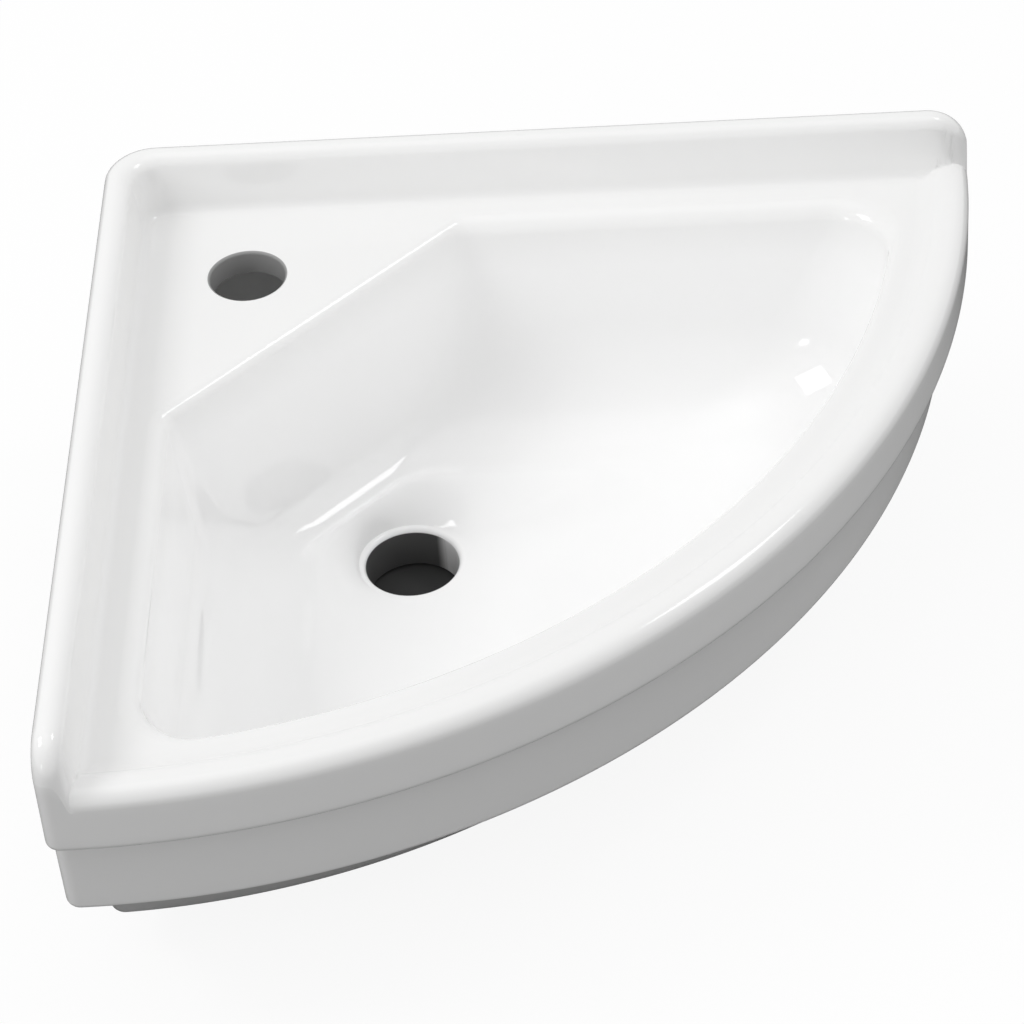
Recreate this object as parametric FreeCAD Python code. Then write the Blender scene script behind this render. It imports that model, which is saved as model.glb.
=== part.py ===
import FreeCAD, Part
import math
import os

# Corner basin in glazed china, cast in one piece, with the two wall sleeves.
# Millimetres, +Z up.  The two walls meet at plan point (0, 0) of the corner
# plan: the left wall is x = 0, the right wall is y = 0, and the basin fills
# x > 0, y < 0, mirrored about the diagonal.  Heights start at the underside
# of the waste outlet.  On writing, everything moves so that the origin lies
# on the waste hole's axis.

# ---- plan ----
leg_length = 404.0            # along each wall, from the corner to the front end
front_centre = 4.0            # centre of the front arc, from each wall
back_corner_radius = 22.0     # vertical outer corner between the two walls
end_corner_radius = 6.5       # vertical corner where the front meets a wall
# ---- heights ----
outlet_length = 22.0          # wall of the waste hole, underside to bowl floor
bowl_depth = 121.0            # deck to the floor at the waste hole
upstand_height = 29.5         # crest above the deck
bead_height = 5.5             # front bead above the deck
rim_band_depth = 26.0         # deck down to the step in the front
apron_depth = 73.0            # deck down to the bottom of the apron
# ---- rim and apron sections ----
upstand_thickness = 14.5
crest_round = 6.5             # both top edges of the upstand, and down its front ends
crest_end_round = 19.0        # the crest turning down at the front ends
upstand_foot_round = 10.0     # hollow fillet from upstand to deck
upstand_corner_radius = 14.0  # vertical inner corner between the two upstands
bead_width = 16.0
bead_inner_round = 5.0
bead_outer_round = 9.0
rim_band_round = 4.0          # lower edge of the band
step_depth = 9.0              # the apron's top stands back from the band by this
apron_taper = 2.5             # the apron leans in by this, top to bottom
apron_round = 4.0             # lower edge of the apron
apron_wall_gap = 1.0          # the apron's sides stand back from the walls
deck_thickness = 12.0
# ---- bowl, inner face ----
wall_side_offset = 35.5       # bowl wall below its rolled edge, from each wall
wall_side_roll = 8.0
wall_side_draft = 0.12        # inward run for each millimetre of depth
wall_side_sweep = 45.0        # large fillet from wall to floor
front_side_offset = 35.0      # bowl wall, in from the front arc
front_side_roll = 5.0
front_side_draft = 0.02
front_side_sweep = 40.0
chamfer_distance = 141.7      # from the corner to the bowl's diagonal wall
chamfer_roll = 3.0
chamfer_draft = 0.05
chamfer_sweep = 15.0
front_corner_radius = 27.0    # plan corners at the front ends of the bowl
chamfer_corner_radius = 6.0   # plan corners at the ends of the diagonal wall
corner_growth = 0.3           # plan corners widen by this with each millimetre
floor_fall = 16.0             # floor falls by this from its edge to the waste
# ---- bowl, outer face ----
belly_side_offset = 10.5      # the side walls' outer face, from each wall
front_wall_thickness = 12.0
chamfer_wall_thickness = 12.0
floor_thickness = 8.0         # at the waste hole
belly_front_taper = 27.0      # the front leans in by this, apron to underside
belly_front_shift = 8.0       # and its arc's centre moves this much towards each wall
belly_round = 10.0            # rounding all round the underside
belly_corner_radius = 6.0     # plan corners at the front ends
# ---- waste and tap holes ----
waste_offset = 135.5          # hole centre, from each wall
waste_radius = 22.0
waste_edge_break = 3.0
waste_boss_radius = 35.0
tap_offset = 67.0
tap_radius = 17.5
tap_edge_break = 1.5
# ---- wall flanges and their sleeves ----
flange_thickness = 12.0
fixing_along = 118.0          # fixing hole, from the corner along each wall
fixing_depth = 40.0           # fixing hole, below the deck
fixing_radius = 7.0
sleeve_clearance = 0.3        # sleeve in its hole, on the radius
sleeve_bore_radius = 5.2
sleeve_collar_radius = 12.0
sleeve_collar_thickness = 3.0

# ---- worked out from the above ----
front_radius = leg_length - front_centre
deck_top = outlet_length + bowl_depth
crest_top = deck_top + upstand_height
bead_top = deck_top + bead_height
step_height = deck_top - rim_band_depth
apron_bottom = deck_top - apron_depth
apron_upper_radius = front_radius - step_depth
apron_lower_radius = apron_upper_radius - apron_taper
bead_inner_radius = front_radius - bead_width
bowl_front_radius = front_radius - front_side_offset
bowl_edge_depth = bowl_depth - floor_fall
belly_depth = bowl_depth + floor_thickness
half_diagonal = math.sqrt(0.5)

# ---- how the forms are drawn ----
beyond = 20.0                 # cutting tools reach this far past the part
roll_steps = [0.0, 0.25, 1.0]            # sections down the bowl's rolled edge
sweep_turns = [20, 40, 62, 90]           # sections round the bowl's large fillets, degrees
round_turns = [0, 30, 60, 90]            # steps round a small edge, degrees
bead_turns = [0, 18, 36, 54, 72, 90]     # steps round the bead, degrees
level_tolerance = 0.01


def mirrored(point):
    """The point's twin across the plan diagonal."""
    return (-point[1], -point[0])


def vector(point, height):
    return FreeCAD.Vector(point[0], point[1], height)


def line(start, end, height):
    return Part.LineSegment(vector(start, height), vector(end, height)).toShape()


def arc(start, middle, end, height):
    return Part.Arc(vector(start, height), vector(middle, height), vector(end, height)).toShape()


def toward(centre, target, distance):
    """The point at a distance from centre in the direction of target."""
    run_x = target[0] - centre[0]
    run_y = target[1] - centre[1]
    length = math.hypot(run_x, run_y)
    return (centre[0] + run_x * distance / length, centre[1] + run_y * distance / length)


def section_point(pair):
    """A (radius, height) pair as a point in the vertical plane through an axis."""
    return FreeCAD.Vector(pair[0], 0, pair[1])


def section_wire(steps):
    """Closed wire from (radius, height) pairs; a triple ends an arc.

    A triple (radius, height, centre) draws an arc about its centre, the short
    way round, from the point before it.
    """
    edges = []
    previous = steps[0]
    for step in steps[1:] + steps[:1]:
        start = section_point(previous)
        end = section_point(step)
        if len(step) == 3:
            centre = step[2]
            chord_middle = ((previous[0] + step[0]) / 2, (previous[1] + step[1]) / 2)
            radius = math.hypot(step[0] - centre[0], step[1] - centre[1])
            middle = section_point(toward(centre, chord_middle, radius))
            edges.append(Part.Arc(start, middle, end).toShape())
        else:
            edges.append(Part.LineSegment(start, end).toShape())
        previous = step
    return Part.Wire(edges)


def quarter_round(centre, radius, upward, outward, turns):
    """Steps round a quarter circle, from level to upright, as (radius, height) pairs."""
    angles = [math.radians(turn) for turn in turns]
    return [(centre[0] + outward * radius * math.sin(angle), centre[1] + upward * radius * math.cos(angle))
            for angle in angles]


def turned(steps, centre):
    """Solid of revolution of a section about the vertical axis at a plan point."""
    face = Part.Face(section_wire(steps))
    solid = face.revolve(FreeCAD.Vector(0, 0, 0), FreeCAD.Vector(0, 0, 1), 360)
    solid.translate(FreeCAD.Vector(centre[0], centre[1], 0))
    return solid


def wall_front_corner(offset, radius_of_front, fillet, centre):
    """Fillet between the left wall's offset line and the front arc."""
    centre_x = offset + fillet
    reach = radius_of_front - fillet
    centre_y = -centre - math.sqrt(reach ** 2 - (centre_x - centre) ** 2)
    on_wall = (offset, centre_y)
    on_front = toward((centre, -centre), (centre_x, centre_y), radius_of_front)
    corner = (on_wall[0] + on_front[0]) / 2, (on_wall[1] + on_front[1]) / 2
    middle = toward((centre_x, centre_y), corner, fillet)
    return on_wall, middle, on_front


def wall_chamfer_corner(offset, distance, fillet):
    """Fillet between the left wall's offset line and the diagonal wall."""
    span = distance / half_diagonal
    centre_x = offset + fillet
    centre_y = centre_x - span - fillet / half_diagonal
    on_wall = (offset, centre_y)
    on_chamfer = (centre_x - fillet * half_diagonal, centre_y + fillet * half_diagonal)
    corner = (on_wall[0] + on_chamfer[0]) / 2, (on_wall[1] + on_chamfer[1]) / 2
    middle = toward((centre_x, centre_y), corner, fillet)
    return on_wall, middle, on_chamfer


def basin_outline(offset, radius_of_front, back_radius, end_radius, height):
    """Closed outline: two wall lines, rounded corner, front arc, rounded ends."""
    on_wall, middle, on_front = wall_front_corner(offset, radius_of_front, end_radius, front_centre)
    back_start = (offset, -offset - back_radius)
    back_middle_run = back_radius * (1 - half_diagonal)
    back_middle = (offset + back_middle_run, -offset - back_middle_run)
    front_middle = toward((front_centre, -front_centre), (leg_length, -leg_length), radius_of_front)
    edges = [
        line(on_wall, back_start, height),
        arc(back_start, back_middle, mirrored(back_start), height),
        line(mirrored(back_start), mirrored(on_wall), height),
        arc(mirrored(on_wall), mirrored(middle), mirrored(on_front), height),
        arc(mirrored(on_front), front_middle, on_front, height),
        arc(on_front, middle, on_wall, height),
    ]
    return Part.Wire(edges)


def bowl_outline(offset, radius_of_front, centre, distance, fillets, height):
    """Closed bowl section: as the outline, with the diagonal wall across the corner.

    The two fillets are those at the front ends and at the diagonal wall's ends.
    """
    wall_end, end_middle, front_end = wall_front_corner(offset, radius_of_front, fillets[0], centre)
    wall_start, turn_middle, chamfer_end = wall_chamfer_corner(offset, distance, fillets[1])
    front_middle = toward((centre, -centre), (leg_length, -leg_length), radius_of_front)
    edges = [
        line(wall_end, wall_start, height),
        arc(wall_start, turn_middle, chamfer_end, height),
        line(chamfer_end, mirrored(chamfer_end), height),
        arc(mirrored(chamfer_end), mirrored(turn_middle), mirrored(wall_start), height),
        line(mirrored(wall_start), mirrored(wall_end), height),
        arc(mirrored(wall_end), mirrored(end_middle), mirrored(front_end), height),
        arc(mirrored(front_end), front_middle, front_end, height),
        arc(front_end, end_middle, wall_end, height),
    ]
    return Part.Wire(edges)


def ring_point(outward, radius, height):
    """Point of a circle about the waste axis, in a plan direction."""
    centre = (waste_offset, -waste_offset)
    return vector(toward(centre, (centre[0] + outward.x, centre[1] + outward.y), radius), height)


def drawn_to_ring(section, radius, height):
    """Solid between a level section and a circle about the waste axis.

    Its rules join the points where section and circle run parallel, so a
    straight edge of the section gives a flat triangle.
    """
    axis = vector((waste_offset, -waste_offset), section.BoundBox.ZMin)
    faces = [Part.Face(section)]
    ring = []
    for edge in section.Edges:
        ends = [vertex.Point for vertex in edge.Vertexes]
        if isinstance(edge.Curve, Part.Circle):
            middle = (edge.FirstParameter + edge.LastParameter) / 2
            stops = [edge.valueAt(at) for at in (edge.FirstParameter, middle, edge.LastParameter)]
            on_ring = [ring_point(stop - edge.Curve.Center, radius, height) for stop in stops]
            ring.append(Part.Arc(*on_ring).toShape())
            faces.append(Part.makeRuledSurface(edge, ring[-1]))
        else:
            along = (ends[1] - ends[0]).normalize()
            reach = ends[0] - axis
            tip = ring_point(reach - along * reach.dot(along), radius, height)
            faces.append(Part.Face(Part.makePolygon(ends + [tip, ends[0]])))
    faces.append(Part.Face(Part.Wire(Part.__sortEdges__(ring))))
    shell = Part.makeShell(faces)
    shell.sewShape()
    return Part.makeSolid(shell)


def rolled_edge(depth, roll):
    """How far a rolled edge stands back, at a depth below the deck."""
    if depth >= roll:
        return 0.0
    return roll - math.sqrt(roll ** 2 - (roll - depth) ** 2)


def swept_foot(depth, full_depth, sweep):
    """How far the wall has swept in towards the floor at a depth."""
    into = depth - (full_depth - sweep)
    if into <= 0:
        return 0.0
    return sweep - math.sqrt(max(sweep ** 2 - into ** 2, 0.0))


def sweep_depths(full_depth, sweep, turns):
    """Depths of the sections round a large fillet that ends at a full depth."""
    return [full_depth - sweep * (1 - math.sin(math.radians(turn))) for turn in turns]


def prism(outline, height):
    """Upright solid on a closed outline."""
    return Part.Face(outline).extrude(FreeCAD.Vector(0, 0, height))


def corner_plan(offset, back_radius, height):
    """Closed outline open to the front: two wall lines and their rounded corner."""
    far = leg_length + beyond
    back_start = (offset, -offset - back_radius)
    run = back_radius * (1 - half_diagonal)
    back_middle = (offset + run, -offset - run)
    edges = [
        line((offset, -far), back_start, height),
        arc(back_start, back_middle, mirrored(back_start), height),
        line(mirrored(back_start), (far, -offset), height),
        line((far, -offset), (far, -far), height),
        line((far, -far), (offset, -far), height),
    ]
    return Part.Wire(edges)


def edges_at(shape, height):
    """Edges that lie level at a height."""
    return [edge for edge in shape.Edges
            if abs(edge.BoundBox.ZMin - height) < level_tolerance
            and abs(edge.BoundBox.ZMax - height) < level_tolerance]


def along_walls(edges):
    """Those of the edges that stay near the two walls."""
    near = leg_length / 2
    return [edge for edge in edges
            if edge.BoundBox.XMax < near or edge.BoundBox.YMin > -near]


def rim_band():
    """The upper band with the front bead's roll."""
    low_centre = (front_radius - rim_band_round, step_height + rim_band_round)
    roll_centre = (front_radius - bead_outer_round, bead_top - bead_outer_round)
    low_edge = quarter_round(low_centre, rim_band_round, -1, 1, round_turns)
    roll = quarter_round(roll_centre, bead_outer_round, 1, 1, bead_turns)
    steps = [(0, step_height)] + low_edge + roll[::-1] + [(0, bead_top)]
    outline = basin_outline(0, front_radius, back_corner_radius, end_corner_radius, step_height)
    return turned(steps, (front_centre, -front_centre)).common(prism(outline, bead_top - step_height))


def apron():
    """The lower front wall, set back under the band, with a rounded lower edge."""
    top = step_height + rim_band_round
    low_centre = (apron_lower_radius - apron_round, apron_bottom + apron_round)
    low_edge = quarter_round(low_centre, apron_round, -1, 1, round_turns)
    steps = [(0, apron_bottom)] + low_edge + [(apron_upper_radius, top), (0, top)]
    corners = (back_corner_radius - apron_wall_gap, end_corner_radius)
    outline = basin_outline(apron_wall_gap, apron_upper_radius, *corners, apron_bottom)
    return turned(steps, (front_centre, -front_centre)).common(prism(outline, top - apron_bottom))


def upstand():
    """The raised back edge along both walls, turning down at the front ends."""
    base = step_height + rim_band_round
    bars = prism(corner_plan(0, back_corner_radius, base), crest_top - base)
    inner = corner_plan(upstand_thickness, upstand_corner_radius, base - beyond)
    bars = bars.cut(prism(inner, crest_top - base + 2 * beyond))
    round_centre = (front_radius - crest_end_round, crest_top - crest_end_round)
    steps = [
        (0, base),
        (front_radius, base),
        (front_radius, crest_top - crest_end_round),
        (front_radius - crest_end_round, crest_top, round_centre),
        (0, crest_top),
    ]
    bars = bars.common(turned(steps, (front_centre, -front_centre)))
    return bars.makeFillet(crest_round, along_walls(edges_at(bars, crest_top)))


def deck_recess():
    """The space above the sunk deck, inside the upstand and the front bead."""
    brow_centre = (bead_inner_radius + bead_inner_round, bead_top - bead_inner_round)
    brow = quarter_round(brow_centre, bead_inner_round, 1, -1, round_turns)
    steps = [(0, deck_top), (bead_inner_radius, deck_top)] + brow[::-1] + [
        (bead_inner_radius + bead_inner_round, crest_top + beyond),
        (0, crest_top + beyond),
    ]
    plan = corner_plan(upstand_thickness, upstand_corner_radius, deck_top)
    block = prism(plan, upstand_height + beyond)
    block = block.makeFillet(upstand_foot_round, along_walls(edges_at(block, deck_top)))
    return block.common(turned(steps, (front_centre, -front_centre)))


def belly_section(depth):
    """Section of the bowl's outer face at a depth below the deck."""
    lean = max(depth - apron_depth, 0.0) / (belly_depth - apron_depth)
    foot = swept_foot(depth, belly_depth, belly_round)
    return bowl_outline(
        belly_side_offset + foot,
        bowl_front_radius + front_wall_thickness - belly_front_taper * lean - foot,
        front_centre - belly_front_shift * lean,
        chamfer_distance - chamfer_wall_thickness + chamfer_draft * depth + foot,
        (belly_corner_radius, chamfer_corner_radius + corner_growth * depth),
        deck_top - depth)


def bowl_belly():
    """The bowl's outer form, solid, with the boss round the waste outlet."""
    depths = [deck_thickness / 2, apron_depth] + sweep_depths(belly_depth, belly_round, round_turns)
    walls = Part.makeLoft([belly_section(depth) for depth in depths], True, True)
    boss_centre = FreeCAD.Vector(waste_offset, -waste_offset, 0)
    return walls.fuse(Part.makeCylinder(waste_boss_radius, outlet_length, boss_centre))


def bowl_section(depth):
    """Section of the bowl's inner face at a depth below the deck."""
    def run(roll, draft, sweep):
        return draft * depth + swept_foot(depth, bowl_edge_depth, sweep) - rolled_edge(depth, roll)
    return bowl_outline(
        wall_side_offset + run(wall_side_roll, wall_side_draft, wall_side_sweep),
        bowl_front_radius - run(front_side_roll, front_side_draft, front_side_sweep),
        front_centre,
        chamfer_distance + run(chamfer_roll, chamfer_draft, chamfer_sweep),
        (front_corner_radius + corner_growth * depth, chamfer_corner_radius + corner_growth * depth),
        deck_top - depth)


def bowl_cavity():
    """The space inside the bowl, down to the waste hole's edge."""
    roll_depths = [wall_side_roll * step for step in roll_steps]
    foot_depths = sweep_depths(bowl_edge_depth, wall_side_sweep, sweep_turns)
    wall_depths = [bowl_edge_depth - wall_side_sweep]
    sections = [bowl_section(depth) for depth in roll_depths + wall_depths + foot_depths]
    walls = Part.makeLoft(sections, True, True)
    floor = drawn_to_ring(sections[-1], waste_radius + waste_edge_break, outlet_length)
    return walls.fuse(floor)


def round_hole(centre, radius, edge_break, top):
    """Tool for an upright through hole with a sloped upper edge."""
    steps = [
        (0, top - deck_top - beyond),
        (radius, top - deck_top - beyond),
        (radius, top - edge_break),
        (radius + edge_break, top),
        (radius + edge_break, top + edge_break),
        (0, top + edge_break),
    ]
    return turned(steps, centre)


def underside_hollow():
    """The open space under the deck, inside the flanges, before the belly."""
    inside = apron_wall_gap + flange_thickness
    front = bowl_front_radius
    outline = basin_outline(inside, front, inside, end_corner_radius, apron_bottom - beyond)
    return prism(outline, deck_top - deck_thickness - apron_bottom + beyond)


def fixing_axes():
    """Start point and direction of the two fixing holes, out through each wall."""
    height = deck_top - fixing_depth
    left = (FreeCAD.Vector(apron_wall_gap, -fixing_along, height), FreeCAD.Vector(1, 0, 0))
    right = (FreeCAD.Vector(fixing_along, -apron_wall_gap, height), FreeCAD.Vector(0, -1, 0))
    return {"left": left, "right": right}


def basin_body():
    """The one casting: rim, upstand, apron, flanges, bowl and its holes."""
    shell = rim_band().fuse([apron(), upstand()]).cut(deck_recess()).cut(underside_hollow())
    body = shell.fuse(bowl_belly()).cut(bowl_cavity())
    waste = round_hole((waste_offset, -waste_offset), waste_radius, waste_edge_break, outlet_length)
    tap = round_hole((tap_offset, -tap_offset), tap_radius, tap_edge_break, deck_top)
    body = body.cut([waste, tap])
    for start, inward in fixing_axes().values():
        hole_start = start - inward * beyond
        body = body.cut(Part.makeCylinder(fixing_radius, flange_thickness + 2 * beyond, hole_start, inward))
    return body


def wall_sleeve(start, inward):
    """Flanged bush that lines a fixing hole; its collar seats on the flange's inner face."""
    spigot_radius = fixing_radius - sleeve_clearance
    sleeve = Part.makeCylinder(spigot_radius, flange_thickness, start, inward)
    seat = start + inward * flange_thickness
    collar = Part.makeCylinder(sleeve_collar_radius, sleeve_collar_thickness, seat, inward)
    sleeve = sleeve.fuse(collar)
    length = flange_thickness + sleeve_collar_thickness
    sleeve = sleeve.cut(Part.makeCylinder(sleeve_bore_radius, length, start, inward))
    return sleeve


def write(shape, name):
    """Move a finished shape to the waste hole's axis and write it."""
    placed = shape.removeSplitter()
    placed.translate(FreeCAD.Vector(-waste_offset, waste_offset, 0))
    placed.exportStep(os.path.join("parts", name + ".step"))
    print(name, placed.isValid(), len(placed.Solids), round(placed.Volume / 1000, 1), "cm3", placed.BoundBox)


def main():
    os.makedirs("parts", exist_ok=True)
    write(basin_body(), "basin_body")
    for side, (start, inward) in fixing_axes().items():
        write(wall_sleeve(start, inward), "wall_sleeve_" + side)


main()
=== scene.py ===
import math

import bpy
import bmesh
import numpy as np
from mathutils import Matrix, Vector
from mathutils.geometry import tessellate_polygon


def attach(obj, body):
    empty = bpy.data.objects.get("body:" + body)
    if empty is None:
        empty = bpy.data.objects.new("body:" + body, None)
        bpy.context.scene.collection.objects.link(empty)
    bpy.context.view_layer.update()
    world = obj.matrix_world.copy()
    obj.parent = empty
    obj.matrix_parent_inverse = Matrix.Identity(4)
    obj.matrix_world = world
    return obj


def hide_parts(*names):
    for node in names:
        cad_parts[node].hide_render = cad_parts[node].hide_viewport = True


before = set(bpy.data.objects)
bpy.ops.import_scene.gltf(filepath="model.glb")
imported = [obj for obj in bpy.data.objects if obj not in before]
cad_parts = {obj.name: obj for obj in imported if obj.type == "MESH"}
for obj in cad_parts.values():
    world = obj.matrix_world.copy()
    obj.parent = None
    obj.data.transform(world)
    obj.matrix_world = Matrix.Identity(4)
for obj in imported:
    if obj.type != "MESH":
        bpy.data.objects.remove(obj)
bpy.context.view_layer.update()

# Corner plan in millimetres: the left wall is x = 0, the right wall is y = 0,
# and the basin fills x > 0, y < 0. Heights start at the outlet's underside.
# toFrame moves plan millimetres to the frame, whose origin is on the waste axis.

plan = {
    "wallToWaste": 135.5,
    "frontCentre": 4.0,       # centre of the front arcs, from each wall
    "frontRadius": 400.0,
    "backRadius": 22.0,       # vertical corner between the walls
    "endRadius": 6.5,         # vertical corner where the front meets a wall
    "deck": 143.0,
    "leastRadius": 0.8,       # no plan corner gets tighter than this
}

half = math.sqrt(0.5)         # cosine of 45 degrees
turn = np.pi / 2              # a quarter turn


def toFrame(x, y, z):
    x, y, z = np.broadcast_arrays(x, y, z)
    return np.stack([x - plan["wallToWaste"], y + plan["wallToWaste"], z], -1) / 1000


def mirrorRing(halfRing):
    # The other half of a ring is its twin across the plan diagonal, (x, y) to (-y, -x),
    # walked backwards, without the two points that lie on the diagonal.
    twin = -halfRing[..., ::-1, ::-1][..., 1:-1, :]
    return np.concatenate([halfRing, twin], -2)


def column(value, rings):
    return np.broadcast_to(np.asarray(value, float), (rings,))[:, None]


def spread(start, end, t):
    # Points from start to end at the fractions t, for every ring at once.
    return start[:, None, :] * (1 - t)[None, :, None] + end[:, None, :] * t[None, :, None]


def arcRound(centreX, centreY, radius, fromAngle, toAngle, t):
    # Points on a circle about a centre, between two angles, for every ring at once.
    angle = fromAngle + (toAngle - fromAngle) * t[None, :]
    return np.stack([centreX + radius * np.cos(angle), centreY + radius * np.sin(angle)], -1)


def wallToFrontCorner(offset, radius, middle, fillet):
    # Fillet circle between the wall line x = offset and the front arc about
    # (middle, -middle): it stands one fillet radius in from both.
    centreX = offset + fillet
    reach = radius - fillet
    run = centreX - middle
    centreY = -middle - np.sqrt(reach ** 2 - run ** 2)
    onFront = np.arctan2(centreY + middle, run)
    return centreX, centreY, onFront


def frontHalf(radius, middle, fromAngle, t):
    # Front arc from an angle to its middle on the diagonal.
    return arcRound(middle, -middle, radius, fromAngle, -turn / 2, t)


def outerRings(offset, radius, backRadius, endRadius, cuts):
    # Closed rings of the outer plan: back corner arc, wall line, end corner arc, front arc.
    rings = max(np.size(v) for v in (offset, radius, backRadius, endRadius))
    offset, radius, backRadius, endRadius = (
        column(v, rings) for v in (offset, radius, backRadius, endRadius))
    middle = plan["frontCentre"]
    centreX, centreY, onFront = wallToFrontCorner(offset, radius, middle, endRadius)
    corner = arcRound(offset + backRadius, -offset - backRadius, backRadius,
                      1.5 * turn, 2 * turn, cuts["back"])
    wallStart = np.concatenate([offset, -offset - backRadius], 1)
    wallEnd = np.concatenate([offset, centreY], 1)
    wall = spread(wallStart, wallEnd, cuts["wall"])
    end = arcRound(centreX, centreY, endRadius, -2 * turn, onFront, cuts["end"])
    front = frontHalf(radius, middle, onFront, cuts["front"])
    return mirrorRing(np.concatenate([corner[:, :-1], wall[:, :-1], end[:, :-1], front], 1))


def bowlRings(offset, radius, middle, distance, frontFillet, chamferFillet, cuts):
    # Closed rings of the bowl's plan: diagonal wall, its corner arc, wall line,
    # front corner arc, front arc.
    sizes = (offset, radius, middle, distance, frontFillet, chamferFillet)
    rings = max(np.size(v) for v in sizes)
    offset, radius, middle, distance, frontFillet, chamferFillet = (
        column(v, rings) for v in sizes)
    turnX = offset + chamferFillet
    turnY = turnX - distance / half - chamferFillet / half
    crossing = np.concatenate([distance * half, -distance * half], 1)
    chamferEnd = np.concatenate([turnX - chamferFillet * half, turnY + chamferFillet * half], 1)
    diagonal = spread(crossing, chamferEnd, cuts["diagonal"])
    corner = arcRound(turnX, turnY, chamferFillet, 1.5 * turn, 2 * turn, cuts["corner"])
    centreX, centreY, onFront = wallToFrontCorner(offset, radius, middle, frontFillet)
    wallStart = np.concatenate([offset, turnY], 1)
    wallEnd = np.concatenate([offset, centreY], 1)
    wall = spread(wallStart, wallEnd, cuts["wall"])
    end = arcRound(centreX, centreY, frontFillet, -2 * turn, onFront, cuts["end"])
    front = frontHalf(radius, middle, onFront, cuts["front"])
    return mirrorRing(np.concatenate(
        [diagonal[:, :-1], corner[:, :-1], wall[:, :-1], end[:, :-1], front], 1))


def roundRing(plan2d, centre, radius):
    # The circle's points that lie in the directions of a ring's points.
    away = plan2d - centre
    return centre + away / np.linalg.norm(away, axis=-1, keepdims=True) * radius


def circle(centre, radius, count):
    angle = np.arange(count) / count * 4 * turn
    return np.stack([centre[0] + radius * np.cos(angle), centre[1] + radius * np.sin(angle)], -1)


weldReach = 2e-6              # points nearer than this many metres become one
leastEdge = 1e-6              # and edges shorter than this go


class Shell:
    # Gathers ring grids and flat fills into one mesh; seams close where points meet.

    def __init__(self):
        self.points = []
        self.finishAndPaintedLight = []
        self.quads = []
        self.triangles = []
        self.count = 0

    def add(self, points, finishAndPaintedLight):
        first = self.count
        self.points.append(points.reshape(-1, 3))
        self.finishAndPaintedLight.append(np.broadcast_to(finishAndPaintedLight, points.shape[:-1]).ravel())
        self.count += len(self.points[-1])
        return first

    def grid(self, rings, height, finishAndPaintedLight=0.0):
        # Rings of plan points, each with its height, joined into quads all round. The value
        # is 1 where the bowl is painted lighter, 0 on the rim, and -1 for bare clay painted dark
        # as shade.
        height = np.asarray(height, float)
        if height.ndim == 1:
            height = height[:, None]
        points = toFrame(rings[..., 0], rings[..., 1], height)
        first = self.add(points, finishAndPaintedLight)
        many, around = points.shape[:2]
        index = first + np.arange(many * around).reshape(many, around)
        beside = np.roll(index, -1, 1)
        corners = np.stack([index[:-1], beside[:-1], beside[1:], index[1:]], -1)
        self.quads.append(corners.reshape(-1, 4))
        return points

    def fill(self, loops):
        # Flat face between an outer loop and the loops inside it.
        first = self.add(np.concatenate(loops), 0.0)
        found = tessellate_polygon([[Vector(p) for p in loop] for loop in loops])
        self.triangles.append(np.array(found) + first)

    def mesh(self, name):
        points = np.concatenate(self.points)
        faces = np.concatenate(self.quads).tolist() + np.concatenate(self.triangles).tolist()
        made = bpy.data.meshes.new(name)
        made.from_pydata(points.tolist(), [], faces)
        finishAndPaintedLight = made.attributes.new("finishAndPaintedLight", "FLOAT", "POINT")
        finishAndPaintedLight.data.foreach_set("value", np.concatenate(self.finishAndPaintedLight))
        work = bmesh.new()
        work.from_mesh(made)
        bmesh.ops.remove_doubles(work, verts=work.verts, dist=weldReach)
        bmesh.ops.dissolve_degenerate(work, edges=work.edges, dist=leastEdge)
        bmesh.ops.recalc_face_normals(work, faces=work.faces)
        work.to_mesh(made)
        openEdges = sum(1 for edge in work.edges if not edge.is_manifold)
        work.free()
        print("mesh", name, len(made.vertices), "points,", openEdges, "open edges")
        return made


# Rim: the upstand along the walls and the bead along the front.

rim = {
    "crest": 172.5,
    "crestRound": 6.5,
    "crestFlat": 0.1,
    "lean": math.radians(8),      # the upstand's inner face leans back
    "footRound": 5.0,
    "endRound": 19.0,             # the crest turning down at the front ends
    "endEdge": 8.0,               # how much of the inner face turns down with it
    "endShare": 0.97,             # past this share of the turn the end falls straight
    "endPower": 4,                # how sharply the inner face's drop stops at endEdge
    "endTighten": 0.85,           # how fast the front end corners tighten inwards
    "innerCorner": 13.0,          # plan radius of the upstand's inner corner
    "backReach": 66.0,            # this near the back corner the crest follows its rings
    "beadTop": 148.5,
    "beadRoll": 8.0,              # the bead's outer edge
    "beadBrow": 15.0,             # its inner edge
    "beadFoot": 15.0,             # and the hollow from there to the deck
    "noseRound": 16.0,            # plan radius of the bead's end by the wall
    "flatFrom": 26.0,             # the deck is flat from here inwards
    "border": 0.7,                # flat strip beside each flat fill
    "blend": 9.0,                 # how softly upstand and bead run together
    "blendReach": 1.5,            # the blend ends this many bead rolls in from the front
    "leastBlend": 1e-6,           # keeps its division clear of zero
    "step": 117.0,                # lower edge of the band
    "bandRound": 4.0,
}

apron = {
    "wallGap": 1.0,
    "topRadius": 391.0,
    "bottomRadius": 388.5,
    "bottom": 70.0,
    "round": 4.0,
}


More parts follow.
